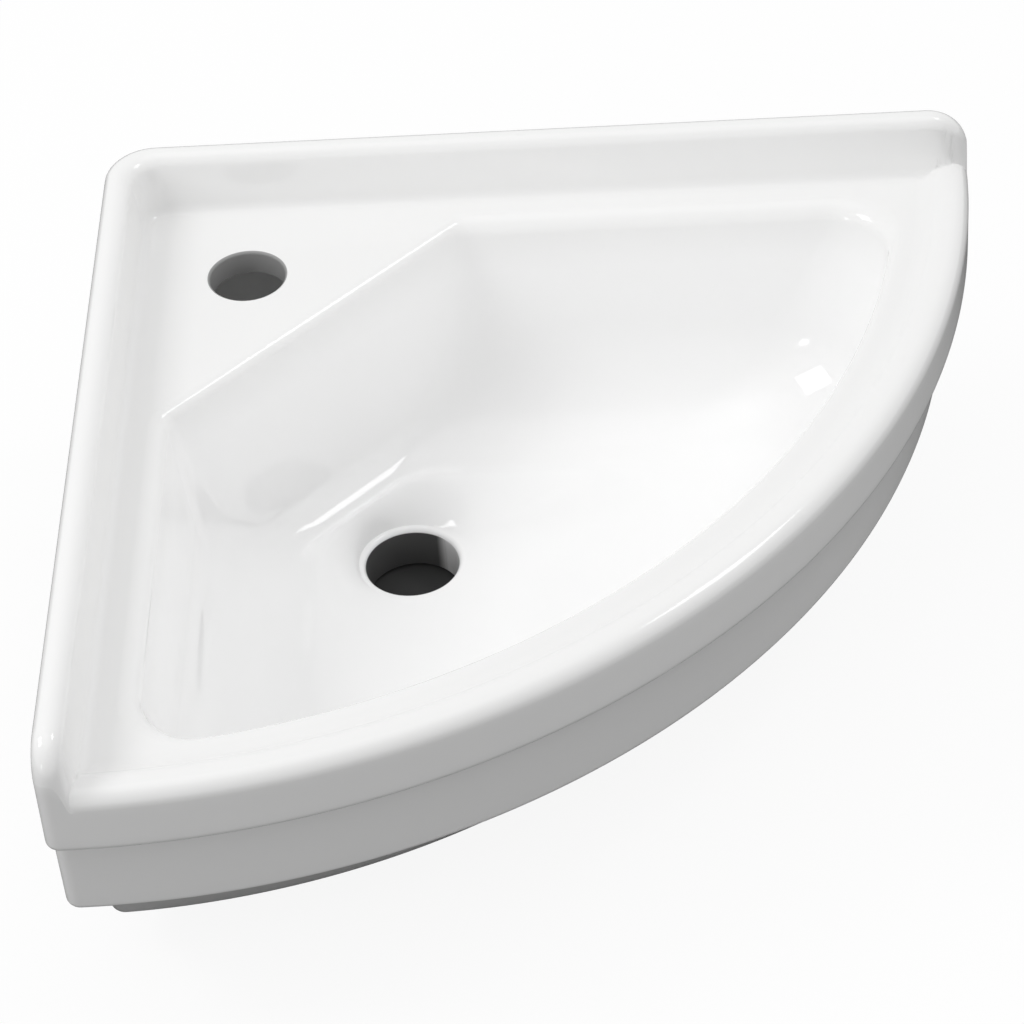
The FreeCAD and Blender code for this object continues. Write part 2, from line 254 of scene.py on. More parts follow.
def upstandProfile(step=0.9):
    # Section across the upstand, wall side first: quarter round, small flat, round
    # down to the leaning face, and the hollow fillet to the deck. (inset, height) rows,
    # about a step apart.
    r, foot, lean = rim["crestRound"], rim["footRound"], rim["lean"]
    turns = np.linspace(0, turn, int(r * turn / step) + 2)
    outer = np.stack([r - r * np.cos(turns), rim["crest"] - r + r * np.sin(turns)], -1)
    centre = np.array([r + rim["crestFlat"], rim["crest"] - r])
    turns = np.linspace(turn, lean, int(r * (turn - lean) / step) + 2)
    inner = centre + r * np.stack([np.cos(turns), np.sin(turns)], -1)
    footHeight = plan["deck"] + foot
    leaveHeight = footHeight - foot * math.sin(lean)
    leave = inner[-1, 0] + (inner[-1, 1] - leaveHeight) * math.tan(lean)
    footCentre = np.array([leave + foot * math.cos(lean), footHeight])
    t = np.linspace(0, 1, rimRows["lean"])[1:-1, None]
    face = inner[-1] + (np.array([leave, leaveHeight]) - inner[-1]) * t
    turns = np.linspace(2 * turn + lean, 3 * turn, int(foot * (turn - lean) / step) + 2)
    root = footCentre + foot * np.stack([np.cos(turns), np.sin(turns)], -1)
    level = np.arange(root[-1, 0] + step, rim["flatFrom"] + step, step)
    deck = np.stack([level, np.full_like(level, plan["deck"])], -1)
    return np.concatenate([outer, inner, face, root, deck])


def beadHeight(inset, fromWall):
    # Height of the bead at an inset from the front: outer roll, and the brow running
    # into a shallow hollow at the deck. Near the wall its end rolls down to a nose.
    roll, brow, foot = rim["beadRoll"], rim["beadBrow"], rim["beadFoot"]
    drop = rim["beadTop"] - plan["deck"]
    steep = math.acos(1 - drop / (brow + foot))
    t = np.linspace(0, steep, rimRows["bead"])
    browX = roll + brow * np.sin(t)
    browZ = rim["beadTop"] - brow * (1 - np.cos(t))
    footX = browX[-1] + foot * (math.sin(steep) - np.sin(t[::-1]))
    footZ = plan["deck"] + foot * (1 - np.cos(t[::-1]))
    acrossX = np.concatenate([browX, footX[1:]])
    acrossZ = np.concatenate([browZ, footZ[1:]])
    height = np.interp(inset, acrossX, acrossZ)
    nose = rim["noseRound"]
    edge = nose - np.hypot(np.clip(nose - inset, 0, None), np.clip(nose - fromWall, 0, None))
    left = np.clip(roll - edge, 0, roll)
    rolled = rim["beadTop"] - roll + np.sqrt(roll ** 2 - left ** 2)
    return np.minimum(rolled, np.where(inset < roll, rim["beadTop"], height))


def rimHeight(wallInset, frontInset, profile):
    # Height over the rim. The upstand's crest is carried round a quarter circle at the
    # front ends: a point with drop d runs on a circle of radius r - d, and falls
    # straight past a share of it. The drop d of the inner face counts up to endEdge;
    # the rest is added. The higher of upstand and bead counts, softly joined.
    order = np.argsort(profile[:, 0], kind="stable")
    wallDrop = rim["crest"] - np.interp(wallInset, profile[order, 0], profile[order, 1])
    power = rim["endPower"]
    edgeDrop = wallDrop / (1 + (wallDrop / rim["endEdge"]) ** power) ** (1 / power)
    r, most = rim["endRound"], rim["endShare"]
    reach = r - edgeDrop
    run = np.clip(r - frontInset, 0, None)
    turned = np.minimum(run / reach, most)
    steep = most / math.sqrt(1 - most ** 2)
    beyond = np.clip(run - most * reach, 0, None)
    endDrop = r - reach * np.sqrt(1 - turned ** 2) + steep * beyond
    up = rim["crest"] - (endDrop + wallDrop - edgeDrop) - plan["deck"]
    bead = beadHeight(frontInset, wallInset) - plan["deck"]
    higher = np.maximum(up, bead)
    onRoll = np.clip(rim["blendReach"] - frontInset / rim["beadRoll"], 0, 1)
    soft = np.clip(higher + rim["blend"] * onRoll, rim["leastBlend"], rim["blend"])
    return plan["deck"] + higher + np.clip(soft - np.abs(up - bead), 0, None) ** 2 / (4 * soft)


def denseToEnd(coarse, fine):
    # Fractions from 0 to 1, coarse at first and fine over the part near the front ends.
    start = 1 - nearEnd
    return np.concatenate([np.linspace(0, start, coarse, endpoint=False),
                           np.linspace(start, 1, fine)])


nearEnd = 0.13                # this share of each wall and of the front is cut finely

rimCuts = {
    "back": np.linspace(0, 1, 9),
    "wall": denseToEnd(14, 52),
    "end": np.linspace(0, 1, 13),
    "front": 1 - denseToEnd(72, 42)[::-1],
}

rimRows = {
    "lean": 14,
    "bead": 24,
    "band": 7,
    "bandRound": 9,
    "soffit": 4,
    "apron": 7,
    "apronRound": 8,
}


def rimShell(shell):
    profile = upstandProfile()
    inset = profile[::-1, 0]                       # from the deck outwards
    innerTurn = profile[profile[:, 1] > plan["deck"] + rim["footRound"]][-1, 0]
    corner = rim["innerCorner"]
    back = corner + (plan["backRadius"] - corner) * (1 - inset / innerTurn)
    back = np.where(inset > innerTurn, corner - (inset - innerTurn), back)
    least = plan["leastRadius"]
    back = np.clip(back, least, None)
    end = np.clip(plan["endRadius"] - inset * rim["endTighten"], least, None)
    rings = outerRings(inset, plan["frontRadius"] - inset, back, end, rimCuts)
    x, y = rings[..., 0], rings[..., 1]
    frontInset = plan["frontRadius"] - np.hypot(x - plan["frontCentre"], y + plan["frontCentre"])
    wallInset = np.minimum(x, -y)
    nearBack = np.maximum(x, -y) < rim["backReach"]
    wallInset = np.where(nearBack, inset[:, None], wallInset)
    height = rimHeight(wallInset, frontInset, profile)
    height[0] = plan["deck"]
    top = shell.grid(rings, height)

    # The band: down from the crest or the bead, round its lower edge, and in to the apron.
    outline = rings[-1]
    wallGap = apron["wallGap"]
    backRadius = plan["backRadius"] - wallGap
    apronTop, apronLow = (outerRings(wallGap, radius, backRadius, plan["endRadius"], rimCuts)[0]
                          for radius in (apron["topRadius"], apron["bottomRadius"]))
    inward = apronTop - outline
    gap = np.linalg.norm(inward, axis=-1, keepdims=True)
    inward = inward / gap
    r = rim["bandRound"]
    lastTurn = np.arccos(np.clip(1 - gap / r, 0, 1))
    bandLow = rim["step"] + r
    t = np.linspace(0, 1, rimRows["band"])[:, None]
    bandHeight = height[-1] + (bandLow - height[-1]) * t
    t = np.linspace(0, 1, rimRows["bandRound"])[:, None, None]
    reach = r * (1 - np.cos(lastTurn * t))
    roundRings = outline + inward * reach
    roundHeight = (bandLow - r * np.sin(lastTurn * t))[..., 0]
    t = np.linspace(0, 1, rimRows["soffit"])[:, None, None]
    soffit = roundRings[-1] + (apronTop - roundRings[-1]) * t

    # The apron: leaning down to its rounded lower edge and a flat border under it.
    r = apron["round"]
    t = np.linspace(0, 1, rimRows["apron"])[:, None, None]
    face = apronTop + (apronLow - apronTop) * t
    faceHeight = roundHeight[-1] + (apron["bottom"] + r - roundHeight[-1]) * t[..., 0]
    turns = np.linspace(0, turn, rimRows["apronRound"])[1:]
    inset = np.concatenate([r * (1 - np.cos(turns)), [r + rim["border"]]])
    lower = outerRings(wallGap + inset, apron["bottomRadius"] - inset, backRadius - inset,
                       np.clip(plan["endRadius"] - inset, least, None), rimCuts)
    lowerHeight = np.concatenate([apron["bottom"] + r * (1 - np.sin(turns)), [apron["bottom"]]])
    lowerHeight = np.repeat(lowerHeight[:, None], len(outline), 1)
    band = np.repeat(outline[None], rimRows["band"], 0)
    soffitHeight = np.repeat(roundHeight[-1:], rimRows["soffit"] - 1, 0)
    shell.grid(np.concatenate([band, roundRings[1:], soffit[1:], face[1:], lower]),
               np.concatenate([bandHeight, roundHeight[1:], soffitHeight, faceHeight[1:],
                               lowerHeight]))
    return top[0], toFrame(lower[-1, :, 0], lower[-1, :, 1], apron["bottom"])


# Bowl: rolled edge, four walls, sweeps, floor and waste hole.

bowl = {
    "edgeDepth": 105.0,
    "depth": 121.0,
    "wall": {"offset": 35.5, "roll": 8.0, "draft": 0.12, "sweep": 45.0},
    "front": {"offset": 35.0, "roll": 5.0, "draft": 0.02, "sweep": 40.0},
    "diagonal": {"offset": 141.7, "roll": 5.5, "draft": 0.05, "sweep": 15.0},
    "frontCorner": 27.0,
    "diagonalCorner": 12.0,
    "cornerGrowth": 0.3,
    "wasteRadius": 22.0,
    "wasteRound": 3.0,
    "outletRadius": 35.0,
    "paintedLightDepth": 25.0,       # the bowl's painted light is full from this depth down
    "floorCurve": 1.3,        # above 1, the floor falls less by the walls than by the hole
    "bareShadedLipRows": 2,         # the lowest rows of the hole's edge are bare and painted dark as shade, as its bore is
    "litFrom": 0.5,           # the bore's painted shade gets painted light from this share of the way towards +X
    "litSlope": 5.0,          # comes up this fast
    "paintedLitLift": 0.75,         # and the painted shade is lifted there by this share
}

bowlCuts = {
    "diagonal": np.linspace(0, 1, 22),
    "corner": np.linspace(0, 1, 15),
    "wall": np.linspace(0, 1, 26),
    "end": np.linspace(0, 1, 27),
    "front": np.linspace(0, 1, 104),
}

bowlRows = {"roll": 26, "wall": 9, "sweep": 30, "floor": 20, "lip": 9, "bore": 5}


def runIn(side, depth, edgeDepth):
    # How far a bowl wall stands in from its offset line at a depth: its draft, less
    # the rolled edge near the deck, plus the quarter sweep near the floor.
    roll, sweep = side["roll"], side["sweep"]
    left = np.clip(roll - depth, 0, None)
    into = np.clip(depth - edgeDepth + sweep, 0, sweep)
    return (side["draft"] * depth
            - np.where(depth < roll, roll - np.sqrt(np.clip(roll ** 2 - left ** 2, 0, None)), 0)
            + sweep - np.sqrt(np.clip(sweep ** 2 - into ** 2, 0, None)))


def bowlPlan(depth, extra=0.0):
    wall, front, diagonal = bowl["wall"], bowl["front"], bowl["diagonal"]
    edge = bowl["edgeDepth"]
    grown = bowl["cornerGrowth"] * depth
    return bowlRings(
        wall["offset"] + runIn(wall, depth, edge) - extra,
        plan["frontRadius"] - front["offset"] - runIn(front, depth, edge) + extra,
        plan["frontCentre"],
        diagonal["offset"] + runIn(diagonal, depth, edge) - extra,
        bowl["frontCorner"] + grown + extra,
        bowl["diagonalCorner"] + grown + extra,
        bowlCuts)


def bowlShell(shell):
    edge = bowl["edgeDepth"]
    waste = np.array([plan["wallToWaste"], -plan["wallToWaste"]])
    biggestRoll, biggestSweep = bowl["wall"]["roll"], bowl["wall"]["sweep"]
    rollDepths = biggestRoll * (1 - np.cos(np.linspace(0, turn, bowlRows["roll"])))
    wallDepths = np.linspace(biggestRoll, edge - biggestSweep, bowlRows["wall"])[1:]
    turns = np.linspace(0, turn, bowlRows["sweep"])[1:]
    sweepDepths = edge - biggestSweep * (1 - np.sin(turns))
    depths = np.concatenate([rollDepths, wallDepths, sweepDepths])
    border = bowlPlan(np.array([0.0]), rim["border"])
    walls = bowlPlan(depths)
    waterLine = walls[-1]
    seat = roundRing(waterLine, waste, bowl["wasteRadius"] + bowl["wasteRound"])
    t = np.linspace(0, 1, bowlRows["floor"])[1:, None, None]
    floor = waterLine + (seat - waterLine) * t
    floorDepths = edge + (bowl["depth"] - edge) * t[:, 0, 0] ** bowl["floorCurve"]
    turns = np.linspace(0, turn, bowlRows["lip"])[1:]
    r = bowl["wasteRound"]
    lipRadius = bowl["wasteRadius"] + r * (1 - np.sin(turns))
    lip = waste + (seat - waste)[None] / (bowl["wasteRadius"] + r) * lipRadius[:, None, None]
    lipDepths = bowl["depth"] + r * (1 - np.cos(turns))
    boreDepths = np.linspace(lipDepths[-1], plan["deck"], bowlRows["bore"])[1:]
    bore = np.repeat(lip[-1:], len(boreDepths), 0)
    underside = waste + (lip[-1:] - waste) / bowl["wasteRadius"] * bowl["outletRadius"]
    heights = plan["deck"] - np.concatenate(
        [[0.0], depths, floorDepths, lipDepths, boreDepths, [plan["deck"]]])
    # Painted light: the bowl's glaze is painted lighter, growing from the deck to a set depth, and
    # full on the floor and the hole's edge.
    bowlLightByDepth = np.clip(np.concatenate([[0.0], depths]) / bowl["paintedLightDepth"], 0, 1)
    # Painted shade and light in the waste hole: its lowest edge rows and bore are painted dark,
    # paler towards +X.
    towardsX = (seat[:, 0] - waste[0]) / (bowl["wasteRadius"] + r)
    lit = np.clip(bowl["litSlope"] * (towardsX - bowl["litFrom"]), 0, 1)
    shadedLipCount = bowl["bareShadedLipRows"]
    bowlLightRows = np.concatenate([bowlLightByDepth, np.ones(len(floor) + len(lip) - shadedLipCount)])
    bowlLightRows = np.repeat(bowlLightRows[:, None], len(seat), 1)
    bareAndShade = np.repeat((bowl["paintedLitLift"] * lit - 1)[None], shadedLipCount + len(bore) + 1, 0)
    shell.grid(np.concatenate([border, walls, floor, lip, bore, underside]), heights,
               np.concatenate([bowlLightRows, bareAndShade]))
    return toFrame(border[0, :, 0], border[0, :, 1], plan["deck"]), underside[0]


# Underside: belly under the bowl, outlet boss, hollow under the tap deck.

belly = {
    "depth": 129.0,
    "sideOffset": 10.5,
    "frontRadius": 377.0,
    "frontTaper": 27.0,       # the front leans in by this, apron to underside
    "frontShift": 8.0,        # and its arc's centre moves this much towards each wall
    "diagonal": 129.7,
    "diagonalDraft": 0.05,
    "round": 10.0,
    "frontCorner": 6.0,
    "diagonalCorner": 6.0,
    "cornerGrowth": 0.3,
    "bossFoot": 4.0,
    "bareShadeBelow": 1.0,         # only the outlet's end face lies below this; it is bare and painted dark as shade
}

bellyRows = {"straight": 9, "round": 10, "bossFoot": 8}

hollow = {
    "wallOffset": 13.0,
    "diagonal": 130.5,
    "backRadius": 13.0,
    "cornerRadius": 6.0,
    "ceiling": 131.0,
    "ceilingRound": 4.0,
    "tapOffset": 67.0,
    "tapRadius": 17.5,
    "tapRound": 1.5,
    "tapPoints": 96,
    "boreBareAndShade": -0.72,      # the tap hole's bore is mostly bare and painted dark as shade
    "glazedDepth": 0.1,       # but for this much of its edge
}

hollowCuts = {
    "back": np.linspace(0, 1, 9),
    "wall": np.linspace(0, 1, 9),
    "corner": np.linspace(0, 1, 13),
    "diagonal": np.linspace(0, 1, 9),
}

hollowRows = {"ceilingRound": 8, "tapRound": 9}


def bellyShell(shell, outletRing):
    # Straight down and in from the apron, then a quarter round to the flat underside.
    full, r = belly["depth"], belly["round"]
    first = plan["deck"] - apron["bottom"]
    straight = np.linspace(first, full - r, bellyRows["straight"])
    turned = full - r * (1 - np.sin(np.linspace(0, turn, bellyRows["round"])[1:]))
    depths = np.concatenate([straight, turned])

    def rings(depth, inset=0.0):
        lean = (depth - first) / (full - first)
        foot = r - np.sqrt(r ** 2 - np.clip(depth - full + r, 0, r) ** 2)
        return bowlRings(
            belly["sideOffset"] + foot + inset,
            belly["frontRadius"] - belly["frontTaper"] * lean - foot - inset,
            plan["frontCentre"] - belly["frontShift"] * lean,
            belly["diagonal"] + belly["diagonalDraft"] * depth + foot + inset,
            belly["frontCorner"],
            belly["diagonalCorner"] + belly["cornerGrowth"] * depth,
            bowlCuts)

    mouth = rings(np.array([first]), -rim["border"])
    walls = rings(depths)
    foot = rings(np.array([full]), rim["border"])
    heights = plan["deck"] - np.concatenate([[first], depths, [full]])
    shell.grid(np.concatenate([mouth, walls, foot]), heights)

    # The boss: a hollow foot from the belly's underside, then straight down to the outlet.
    waste = np.array([plan["wallToWaste"], -plan["wallToWaste"]])
    r = belly["bossFoot"]
    turns = np.linspace(0, turn, bellyRows["bossFoot"])
    radius = bowl["outletRadius"] + r * (1 - np.sin(turns))
    radius = np.concatenate([[radius[0] + rim["border"]], radius, [bowl["outletRadius"]]])
    height = plan["deck"] - full - r * (1 - np.cos(turns))
    height = np.concatenate([[plan["deck"] - full], height, [0.0]])
    boss = waste + (outletRing - waste) / bowl["outletRadius"] * radius[:, None, None]
    # Painted shade: the outlet's end face is painted dark.
    shell.grid(boss, height, np.where(height < belly["bareShadeBelow"], -1.0, 0.0)[:, None])
    low = plan["deck"] - full
    shell.fill([toFrame(foot[0, :, 0], foot[0, :, 1], low),
                toFrame(boss[0, :, 0], boss[0, :, 1], low)])
    return toFrame(mouth[0, :, 0], mouth[0, :, 1], apron["bottom"])


def hollowRings(inset):
    # Closed rings of the hollow's plan: rounded back corner, wall line, sharp corner
    # arc of 135 degrees, and half the diagonal, then the twin half.
    rings = np.size(inset)
    inset = column(inset, rings)
    offset = hollow["wallOffset"] + inset
    distance = hollow["diagonal"] - inset
    r = np.clip(hollow["cornerRadius"] - inset, plan["leastRadius"], None)
    back = np.clip(hollow["backRadius"] - inset, plan["leastRadius"], None)
    cornerArc = arcRound(offset + back, -offset - back, back,
                         1.5 * turn, 2 * turn, hollowCuts["back"])
    centreX = offset + r
    centreY = centreX - (distance - r) / half
    wallStart = np.concatenate([offset, -offset - back], 1)
    wallEnd = np.concatenate([offset, centreY], 1)
    wall = spread(wallStart, wallEnd, hollowCuts["wall"])
    turned = arcRound(centreX, centreY, r, 2 * turn, 3.5 * turn, hollowCuts["corner"])
    middle = np.concatenate([distance * half, -distance * half], 1)
    diagonal = spread(turned[:, -1], middle, hollowCuts["diagonal"])
    return mirrorRing(np.concatenate(
        [cornerArc[:, :-1], wall[:, :-1], turned[:, :-1], diagonal], 1))


def hollowShell(shell):
    r, top, border = hollow["ceilingRound"], hollow["ceiling"], rim["border"]
    turns = np.linspace(0, turn, hollowRows["ceilingRound"])
    inset = np.concatenate([[0.0], r * (1 - np.cos(turns)), [r + border]])
    height = np.concatenate([[apron["bottom"]], top - r + r * np.sin(turns), [top]])
    mouth = hollowRings(np.array([-border]))
    rings = np.concatenate([mouth, hollowRings(inset)])
    shell.grid(rings, np.concatenate([[apron["bottom"]], height]))

    # The tap hole: ceiling border, up the bore, the rounded edge, and the deck border.
    tap = np.array([hollow["tapOffset"], -hollow["tapOffset"]])
    r, edge, deck = hollow["tapRadius"], hollow["tapRound"], plan["deck"]
    turns = np.linspace(0, turn, hollowRows["tapRound"])
    radius = np.concatenate([[r + border, r], r + edge * (1 - np.cos(turns)), [r + edge + border]])
    height = np.concatenate([[top, top], deck - edge + edge * np.sin(turns), [deck]])
    bore = np.stack([circle(tap, one, hollow["tapPoints"]) for one in radius])
    # Painted shade: the bore below its edge is painted dark.
    boreShadeRows = height < deck - hollow["glazedDepth"]
    shell.grid(bore, height, np.where(boreShadeRows, hollow["boreBareAndShade"], 0.0)[:, None])
    shell.fill([toFrame(rings[-1, :, 0], rings[-1, :, 1], top),
                toFrame(bore[0, :, 0], bore[0, :, 1], top)])
    return (toFrame(mouth[0, :, 0], mouth[0, :, 1], apron["bottom"]),
            toFrame(bore[-1, :, 0], bore[-1, :, 1], deck))


fixing = {"along": 118.0, "height": 103.0, "radius": 7.0, "reach": 30.0, "points": 64}


def fixingPlugs():
    # Cutters for the two fixing holes, as rods through the flanges along x and y.
    rods = Shell()
    ring = circle((0.0, 0.0), fixing["radius"], fixing["points"])
    along = np.array([-fixing["reach"], fixing["reach"]])
    for side in (0, 1):
        a = np.repeat(along[:, None], fixing["points"], 1)
        b = -fixing["along"] + np.repeat(ring[None, :, 0], 2, 0)
        height = fixing["height"] + np.repeat(ring[None, :, 1], 2, 0)
        rod = np.stack([a, b] if side == 0 else [-b, -a], -1)
        ends = rods.grid(rod, height)
        rods.fill([ends[0]])
        rods.fill([ends[1]])
    return bpy.data.objects.new("fixingPlugs", rods.mesh("fixingPlugs"))


sharpAngle = math.radians(38)  # edges that turn by more than this stay sharp


def buildBasin():
    shell = Shell()
    deckOuter, bottomOuter = rimShell(shell)
    deckInner, outletRing = bowlShell(shell)
    bellyMouth = bellyShell(shell, outletRing)
    hollowMouth, tapEdge = hollowShell(shell)
    shell.fill([deckOuter, deckInner, tapEdge])
    shell.fill([bottomOuter, bellyMouth, hollowMouth])
    basin = bpy.data.objects.new("basin_china", shell.mesh("basin_china"))
    bpy.context.scene.collection.objects.link(basin)
    plugs = fixingPlugs()
    bpy.context.scene.collection.objects.link(plugs)
    cut = basin.modifiers.new("fixingHoles", "BOOLEAN")
    cut.operation = "DIFFERENCE"
    cut.solver = "EXACT"
    cut.object = plugs
    ready = basin.evaluated_get(bpy.context.evaluated_depsgraph_get())
    made = bpy.data.meshes.new_from_object(ready)
    basin.modifiers.clear()
    basin.data = made
    bpy.data.objects.remove(plugs)
    made.polygons.foreach_set("use_smooth", np.ones(len(made.polygons), bool))
    made.set_sharp_from_angle(angle=sharpAngle)
    return basin


basin = buildBasin()
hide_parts("basin_body")
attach(basin, "root")
print("stage: basin shell,", len(basin.data.polygons), "faces")


# Materials: the glaze, and the sleeves' plastic.

def nodesFor(name):
    material = bpy.data.materials.new(name)
    material.use_nodes = True
    tree = material.node_tree
    return material, tree.nodes, tree.links, tree.nodes["Principled BSDF"]


glaze = {
    "white": (0.90, 0.90, 0.897, 1),
    "cloud": (0.885, 0.885, 0.881, 1),
    # painted light: the bowl is painted whiter than the rim's glaze
    "bowl": (0.97, 0.97, 0.969, 1),
    "bareAndShade": (0.085, 0.085, 0.085, 1),     # painted shade in the bores and on the outlet's end face, which are bare
    "roughness": (0.04, 0.075),
    "bareRoughness": 0.6,
    "cloudScale": 14,
    "cloudDetail": 3,
    "waveScale": 45,                      # the faint unevenness of fired glaze
    "waveDetail": 1.5,
    "waveStrength": 0.05,
    "waveDepth": 0.002,
    "refraction": 1.5,
}

plastic = {
    "pale": (0.72, 0.72, 0.70, 1),
    "dark": (0.66, 0.66, 0.64, 1),
    "roughness": 0.45,
    "grainScale": 900,
    "grainStrength": 0.15,
    "grainDepth": 0.0002,
}


def share(nodes, links, value, start, stop):
    # How far a value has come from start to stop, 0 to 1.
    ramp = nodes.new("ShaderNodeMapRange")
    ramp.inputs["From Min"].default_value = start
    ramp.inputs["From Max"].default_value = stop
    links.new(value, ramp.inputs["Value"])
    return ramp.outputs["Result"]


def makeGlaze():
    material, nodes, links, shader = nodesFor("whiteGlaze")
    where = nodes.new("ShaderNodeTexCoord")
    cloud = nodes.new("ShaderNodeTexNoise")
    cloud.inputs["Scale"].default_value = glaze["cloudScale"]
    cloud.inputs["Detail"].default_value = glaze["cloudDetail"]
    tint = nodes.new("ShaderNodeMix")
    tint.data_type = "RGBA"
    tint.inputs["A"].default_value = glaze["white"]
    tint.inputs["B"].default_value = glaze["cloud"]
    links.new(where.outputs["Object"], cloud.inputs["Vector"])
    links.new(cloud.outputs["Fac"], tint.inputs["Factor"])
    finishAndPaintedLight = nodes.new("ShaderNodeAttribute")      # 1 where the bowl is painted lighter, 0 on the rim, -1 bare and painted dark as shade
    finishAndPaintedLight.attribute_name = "finishAndPaintedLight"
    # Painted light and shade: the bowl is painted whiter, bare parts dark.
    paintedBowlLight = share(nodes, links, finishAndPaintedLight.outputs["Fac"], 0, 1)
    bareAndShade = share(nodes, links, finishAndPaintedLight.outputs["Fac"], 0, -1)
    colour = tint
    for colourName, part in (("bowl", paintedBowlLight), ("bareAndShade", bareAndShade)):
        over = nodes.new("ShaderNodeMix")
        over.data_type = "RGBA"
        over.inputs["B"].default_value = glaze[colourName]
        links.new(part, over.inputs["Factor"])
        links.new(colour.outputs["Result"], over.inputs["A"])
        colour = over
    links.new(colour.outputs["Result"], shader.inputs["Base Color"])
    soft = nodes.new("ShaderNodeMapRange")
    soft.inputs["To Min"].default_value = glaze["roughness"][0]
    soft.inputs["To Max"].default_value = glaze["roughness"][1]
    links.new(cloud.outputs["Fac"], soft.inputs["Value"])
    rough = nodes.new("ShaderNodeMix")
    rough.inputs["B"].default_value = glaze["bareRoughness"]
    links.new(bareAndShade, rough.inputs["Factor"])
    links.new(soft.outputs["Result"], rough.inputs["A"])
    links.new(rough.outputs["Result"], shader.inputs["Roughness"])
    wave = nodes.new("ShaderNodeTexNoise")
    wave.inputs["Scale"].default_value = glaze["waveScale"]
    wave.inputs["Detail"].default_value = glaze["waveDetail"]
    links.new(where.outputs["Object"], wave.inputs["Vector"])
    bump = nodes.new("ShaderNodeBump")
    bump.inputs["Strength"].default_value = glaze["waveStrength"]
    bump.inputs["Distance"].default_value = glaze["waveDepth"]
    links.new(wave.outputs["Fac"], bump.inputs["Height"])
    links.new(bump.outputs["Normal"], shader.inputs["Normal"])
    shader.inputs["IOR"].default_value = glaze["refraction"]
    return material


def makeSleevePlastic():
    material, nodes, links, shader = nodesFor("sleevePlastic")
    where = nodes.new("ShaderNodeTexCoord")
    grain = nodes.new("ShaderNodeTexNoise")
    grain.inputs["Scale"].default_value = plastic["grainScale"]
    links.new(where.outputs["Object"], grain.inputs["Vector"])
    tint = nodes.new("ShaderNodeMix")
    tint.data_type = "RGBA"
    tint.inputs["A"].default_value = plastic["pale"]
    tint.inputs["B"].default_value = plastic["dark"]
    links.new(grain.outputs["Fac"], tint.inputs["Factor"])
    links.new(tint.outputs["Result"], shader.inputs["Base Color"])
    bump = nodes.new("ShaderNodeBump")
    bump.inputs["Strength"].default_value = plastic["grainStrength"]
    bump.inputs["Distance"].default_value = plastic["grainDepth"]
    links.new(grain.outputs["Fac"], bump.inputs["Height"])
    links.new(bump.outputs["Normal"], shader.inputs["Normal"])
    shader.inputs["Roughness"].default_value = plastic["roughness"]
    return material


basin.data.materials.append(makeGlaze())
sleevePlastic = makeSleevePlastic()
for side in ("left", "right"):
    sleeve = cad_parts["wall_sleeve_" + side]
    for place in sleeve.material_slots:
        place.material = sleevePlastic
print("stage: materials")


# Stage, light and camera.

studio = {
    "floorDrop": 0.002,
    "floorSize": 9.0,
    "floorDark": 0.13,         # the floor as the basin sees it
    "holeDark": 0.06,          # and near the waste axis, where it shows through the hole, painted darker as shade
    "holeClear": (0.08, 0.12), # from the axis it is dark up to the first, white from the second
    "floorPale": 0.95,
    "shadowShare": 0.10,       # how strongly the basin's shadow shows on the white floor
    "horizon": 0.83,           # the dome's light at the horizon and below
    "zenith": 0.53,            # and straight above, before the patch there
    "sides": 0.28,             # added towards left and right
    "quarters": 0.15,          # added towards front left and back right, and taken between
    "overhead": 0.6,           # added in a round patch straight above
    "overheadEdge": (0.90, 0.96),  # how far up (1 is straight up) it starts, and is full
}


def mixShaders(tree, amount, first, second):
    mix = tree.nodes.new("ShaderNodeMixShader")
    if isinstance(amount, float):
        mix.inputs["Fac"].default_value = amount
    else:
        tree.links.new(amount, mix.inputs["Fac"])
    tree.links.new(first.outputs[0], mix.inputs[1])
    tree.links.new(second.outputs[0], mix.inputs[2])
    return mix


def mathOf(tree, operation, *values):
    node = tree.nodes.new("ShaderNodeMath")
    node.operation = operation
    for place, value in enumerate(values):
        if isinstance(value, float):
            node.inputs[place].default_value = value
        else:
            tree.links.new(value, node.inputs[place])
    return node.outputs[0]


def matteOf(tree, grey):
    matte = tree.nodes.new("ShaderNodeBsdfDiffuse")
    if isinstance(grey, float):
        matte.inputs["Color"].default_value = (grey, grey, grey, 1)
    else:
        tree.links.new(grey, matte.inputs["Color"])
    return matte


def makeFloor():
    # White with a faint shadow to the camera, dark to the light that bounces on it, and painted
    # darker as shade near the waste axis.
    size = studio["floorSize"]
    made = bpy.data.meshes.new("floor")
    corners = [(-size, -size), (size, -size), (size, size), (-size, size)]
    made.from_pydata([(x, y, -studio["floorDrop"]) for x, y in corners], [], [(0, 1, 2, 3)])
    floor = bpy.data.objects.new("floor", made)
    bpy.context.scene.collection.objects.link(floor)
    material = bpy.data.materials.new("paleFloor")
    material.use_nodes = True
    tree = material.node_tree
    tree.nodes.clear()
    white = tree.nodes.new("ShaderNodeEmission")
    pale = mixShaders(tree, studio["shadowShare"], white, matteOf(tree, studio["floorPale"]))
    where = tree.nodes.new("ShaderNodeTexCoord")
    apart = tree.nodes.new("ShaderNodeVectorMath")
    apart.operation = "LENGTH"
    tree.links.new(where.outputs["Object"], apart.inputs[0])
    clear = share(tree.nodes, tree.links, apart.outputs["Value"], *studio["holeClear"])
    path = tree.nodes.new("ShaderNodeLightPath")
    seen = mathOf(tree, "MULTIPLY", path.outputs["Is Camera Ray"], clear)
    # Painted shade: near the waste axis the floor is darker, to show through the hole.
    lighter = studio["floorDark"] - studio["holeDark"]
    grey = mathOf(tree, "MULTIPLY_ADD", clear, lighter, studio["holeDark"])
    mix = mixShaders(tree, seen, matteOf(tree, grey), pale)
    out = tree.nodes.new("ShaderNodeOutputMaterial")
    tree.links.new(mix.outputs[0], out.inputs["Surface"])
    made.materials.append(material)


